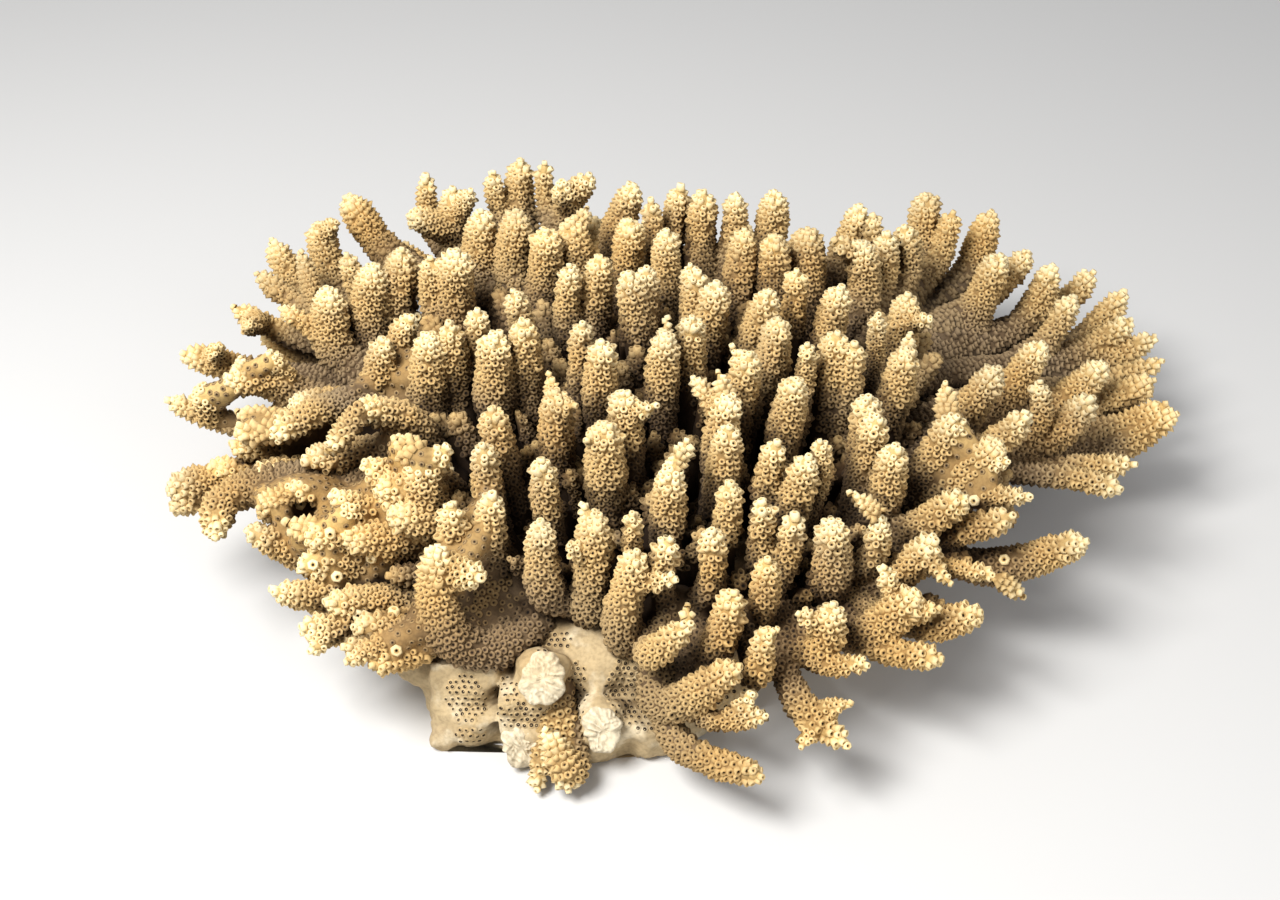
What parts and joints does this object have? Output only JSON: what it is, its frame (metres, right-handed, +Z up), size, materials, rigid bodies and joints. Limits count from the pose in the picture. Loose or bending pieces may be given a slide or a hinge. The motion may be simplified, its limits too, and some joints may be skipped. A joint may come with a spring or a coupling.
{
  "type": "table coral",
  "caption": "Dry table coral colony: knobbly finger branchlets rising and spreading from one encrusting foot that is cut off flat.",
  "frame": {"origin": "in the flat cut under the base, near its middle", "axes": "+X to the right as the picture shows it, +Y away from its viewer, +Z up; the cut rests on Z = 0"},
  "size_m": [0.3245, 0.2359, 0.0917],
  "materials": {
    "coral_stone": "matte, dry, porous"
  },
  "bodies": {
    "root": {"back_1": "coral_stone", "back_2": "coral_stone", "back_3": "coral_stone", "back_4": "coral_stone", "back_left_1": "coral_stone", "back_left_2": "coral_stone", "back_left_3": "coral_stone", "back_left_4": "coral_stone", "back_right_1": "coral_stone", "back_right_2": "coral_stone", "back_right_3": "coral_stone", "back_right_4": "coral_stone", "base": "coral_stone", "crown_1": "coral_stone", "crown_10": "coral_stone", "crown_11": "coral_stone", "crown_12": "coral_stone", "crown_13": "coral_stone", "crown_14": "coral_stone", "crown_15": "coral_stone", "crown_16": "coral_stone", "crown_17": "coral_stone", "crown_18": "coral_stone", "crown_19": "coral_stone", "crown_2": "coral_stone", "crown_20": "coral_stone", "crown_21": "coral_stone", "crown_22": "coral_stone", "crown_23": "coral_stone", "crown_24": "coral_stone", "crown_25": "coral_stone", "crown_26": "coral_stone", "crown_27": "coral_stone", "crown_28": "coral_stone", "crown_29": "coral_stone", "crown_3": "coral_stone", "crown_30": "coral_stone", "crown_31": "coral_stone", "crown_32": "coral_stone", "crown_4": "coral_stone", "crown_5": "coral_stone", "crown_6": "coral_stone", "crown_7": "coral_stone", "crown_8": "coral_stone", "crown_9": "coral_stone", "front_1": "coral_stone", "front_2": "coral_stone", "front_3": "coral_stone", "front_4": "coral_stone", "front_left_1": "coral_stone", "front_left_2": "coral_stone", "front_left_3": "coral_stone", "front_right_1": "coral_stone", "front_right_2": "coral_stone", "front_right_3": "coral_stone", "left_1": "coral_stone", "left_2": "coral_stone", "right_1": "coral_stone", "right_2": "coral_stone"}
  },
  "joints": []
}
